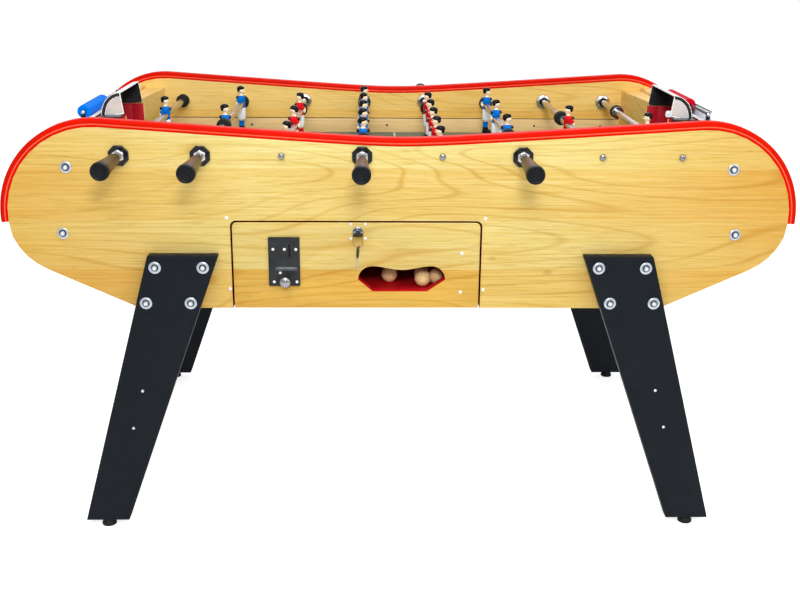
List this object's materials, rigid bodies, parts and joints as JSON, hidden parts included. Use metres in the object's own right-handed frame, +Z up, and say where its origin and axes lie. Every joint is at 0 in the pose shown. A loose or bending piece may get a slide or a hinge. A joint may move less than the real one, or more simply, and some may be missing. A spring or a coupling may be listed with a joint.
{
  "type": "table football",
  "caption": "Coin-operated table football: oak cabinet with curved ends on splayed legs, telescopic rods of players, score beads and a ball door.",
  "frame": {"origin": "on the floor, under the middle of the table measured over its handles", "axes": "+X along the table from the blue goal to the red goal, +Y from the door side to the rear, +Z up"},
  "size_m": [1.6144, 1.2566, 0.894],
  "materials": {
    "oak": "varnished",
    "trim": "glossy red",
    "cover": "white paint",
    "field": "satin laminate",
    "hood": "polished",
    "legs": "satin black",
    "feet": "moulded",
    "bearing": "polished",
    "bar": "bright",
    "blue_rod": "cast, painted",
    "red_rod": "cast, painted",
    "grip": "dark stained",
    "coin": "charcoal",
    "lock": "polished",
    "key": "black bow",
    "trough": "maroon",
    "blue_beads": "glossy",
    "red_beads": "glossy"
  },
  "bodies": {
    "cabinet": {"front_side_panel": "oak", "rear_side_panel": "oak", "blue_end_wall": "oak", "red_end_wall": "oak", "playfield": "field", "blue_end_cover": "cover", "red_end_cover": "cover", "blue_goal_hood": "hood", "red_goal_hood": "hood", "front_edge_trim": "trim", "rear_edge_trim": "trim", "front_left_leg": "legs", "front_right_leg": "legs", "rear_left_leg": "legs", "rear_right_leg": "legs", "ball_trough": "trough", "blue_goal_bearing": "bearing", "blue_two_bearing": "bearing", "red_three_bearing": "bearing", "blue_five_bearing": "bearing", "red_five_bearing": "bearing", "blue_three_bearing": "bearing", "red_two_bearing": "bearing", "red_goal_bearing": "bearing"},
    "door": {"door": "oak", "coin_plate": "coin", "door_lock": "lock"},
    "door_key": {"door_key": "key"},
    "coin_knob": {"coin_knob": "lock"},
    "blue_score_beads": {"blue_score_beads": "blue_beads"},
    "red_score_beads": {"red_score_beads": "red_beads"},
    "front_left_foot": {"front_left_foot": "feet"},
    "front_right_foot": {"front_right_foot": "feet"},
    "rear_left_foot": {"rear_left_foot": "feet"},
    "rear_right_foot": {"rear_right_foot": "feet"},
    "blue_goal_bar": {"blue_goal_inner_bar": "bar"},
    "blue_goal_rod": {"blue_goal_rod": "blue_rod", "blue_goal_handle": "grip"},
    "blue_two_bar": {"blue_two_inner_bar": "bar"},
    "blue_two_rod": {"blue_two_rod": "blue_rod", "blue_two_handle": "grip"},
    "red_three_bar": {"red_three_inner_bar": "bar"},
    "red_three_rod": {"red_three_rod": "red_rod", "red_three_handle": "grip"},
    "blue_five_bar": {"blue_five_inner_bar": "bar"},
    "blue_five_rod": {"blue_five_rod": "blue_rod", "blue_five_handle": "grip"},
    "red_five_bar": {"red_five_inner_bar": "bar"},
    "red_five_rod": {"red_five_rod": "red_rod", "red_five_handle": "grip"},
    "blue_three_bar": {"blue_three_inner_bar": "bar"},
    "blue_three_rod": {"blue_three_rod": "blue_rod", "blue_three_handle": "grip"},
    "red_two_bar": {"red_two_inner_bar": "bar"},
    "red_two_rod": {"red_two_rod": "red_rod", "red_two_handle": "grip"},
    "red_goal_bar": {"red_goal_inner_bar": "bar"},
    "red_goal_rod": {"red_goal_rod": "red_rod", "red_goal_handle": "grip"}
  },
  "joints": [
    {"name": "door_hinge", "type": "hinge", "parent": "cabinet", "child": "door", "pos_m": [-0.092, -0.43675, 0.494], "axis": [1, 0, 0], "range_deg": [0, 95]},
    {"name": "key_turn", "type": "hinge", "parent": "door", "child": "door_key", "pos_m": [-0.089, -0.43675, 0.657], "axis": [0, 1, 0], "range_deg": [0, 90]},
    {"name": "coin_push", "type": "slide", "parent": "door", "child": "coin_knob", "axis": [0, 1, 0], "range_m": [0, 0.008], "stiffness_N_per_m": 150},
    {"name": "blue_score_slide", "type": "slide", "parent": "cabinet", "child": "blue_score_beads", "axis": [0, 1, 0], "range_m": [0, 0.158]},
    {"name": "red_score_slide", "type": "slide", "parent": "cabinet", "child": "red_score_beads", "axis": [0, 1, 0], "range_m": [-0.147, 0.011]},
    {"name": "front_left_foot_turn", "type": "hinge", "parent": "cabinet", "child": "front_left_foot", "pos_m": [-0.63525, -0.45055, 0], "axis": [0, 0, 1], "continuous": true},
    {"name": "front_right_foot_turn", "type": "hinge", "parent": "cabinet", "child": "front_right_foot", "pos_m": [0.63525, -0.45055, 0], "axis": [0, 0, 1], "continuous": true},
    {"name": "rear_left_foot_turn", "type": "hinge", "parent": "cabinet", "child": "rear_left_foot", "pos_m": [-0.63525, 0.40505, 0], "axis": [0, 0, 1], "continuous": true},
    {"name": "rear_right_foot_turn", "type": "hinge", "parent": "cabinet", "child": "rear_right_foot", "pos_m": [0.63525, 0.40505, 0], "axis": [0, 0, 1], "continuous": true},
    {"name": "blue_goal_spin", "type": "hinge", "parent": "cabinet", "child": "blue_goal_bar", "pos_m": [-0.56175, -0.02275, 0.812], "axis": [0, 1, 0], "continuous": true},
    {"name": "blue_goal_slide", "type": "slide", "parent": "blue_goal_bar", "child": "blue_goal_rod", "axis": [0, 1, 0], "range_m": [-0.1567, 0]},
    {"name": "blue_two_spin", "type": "hinge", "parent": "cabinet", "child": "blue_two_bar", "pos_m": [-0.40125, -0.02275, 0.812], "axis": [0, 1, 0], "continuous": true},
    {"name": "blue_two_slide", "type": "slide", "parent": "blue_two_bar", "child": "blue_two_rod", "axis": [0, 1, 0], "range_m": [-0.3146, 0.0216]},
    {"name": "red_three_spin", "type": "hinge", "parent": "cabinet", "child": "red_three_bar", "pos_m": [-0.24075, -0.02275, 0.812], "axis": [0, -1, 0], "continuous": true},
    {"name": "red_three_slide", "type": "slide", "parent": "red_three_bar", "child": "red_three_rod", "axis": [0, -1, 0], "range_m": [-0.1361, 0.0781]},
    {"name": "blue_five_spin", "type": "hinge", "parent": "cabinet", "child": "blue_five_bar", "pos_m": [-0.08025, -0.02275, 0.812], "axis": [0, 1, 0], "continuous": true},
    {"name": "blue_five_slide", "type": "slide", "parent": "blue_five_bar", "child": "blue_five_rod", "axis": [0, 1, 0], "range_m": [-0.1311, 0.0081]},
    {"name": "red_five_spin", "type": "hinge", "parent": "cabinet", "child": "red_five_bar", "pos_m": [0.08025, -0.02275, 0.812], "axis": [0, -1, 0], "continuous": true},
    {"name": "red_five_slide", "type": "slide", "parent": "red_five_bar", "child": "red_five_rod", "axis": [0, -1, 0], "range_m": [-0.1116, 0.0277]},
    {"name": "blue_three_spin", "type": "hinge", "parent": "cabinet", "child": "blue_three_bar", "pos_m": [0.24075, -0.02275, 0.812], "axis": [0, 1, 0], "continuous": true},
    {"name": "blue_three_slide", "type": "slide", "parent": "blue_three_bar", "child": "blue_three_rod", "axis": [0, 1, 0], "range_m": [-0.1891, 0.0252]},
    {"name": "red_two_spin", "type": "hinge", "parent": "cabinet", "child": "red_two_bar", "pos_m": [0.40125, -0.02275, 0.812], "axis": [0, -1, 0], "continuous": true},
    {"name": "red_two_slide", "type": "slide", "parent": "red_two_bar", "child": "red_two_rod", "axis": [0, -1, 0], "range_m": [-0.2601, 0.0026]},
    {"name": "red_goal_spin", "type": "hinge", "parent": "cabinet", "child": "red_goal_bar", "pos_m": [0.56175, -0.02275, 0.812], "axis": [0, -1, 0], "continuous": true},
    {"name": "red_goal_slide", "type": "slide", "parent": "red_goal_bar", "child": "red_goal_rod", "axis": [0, -1, 0], "range_m": [-0.1567, 0]}
  ]
}
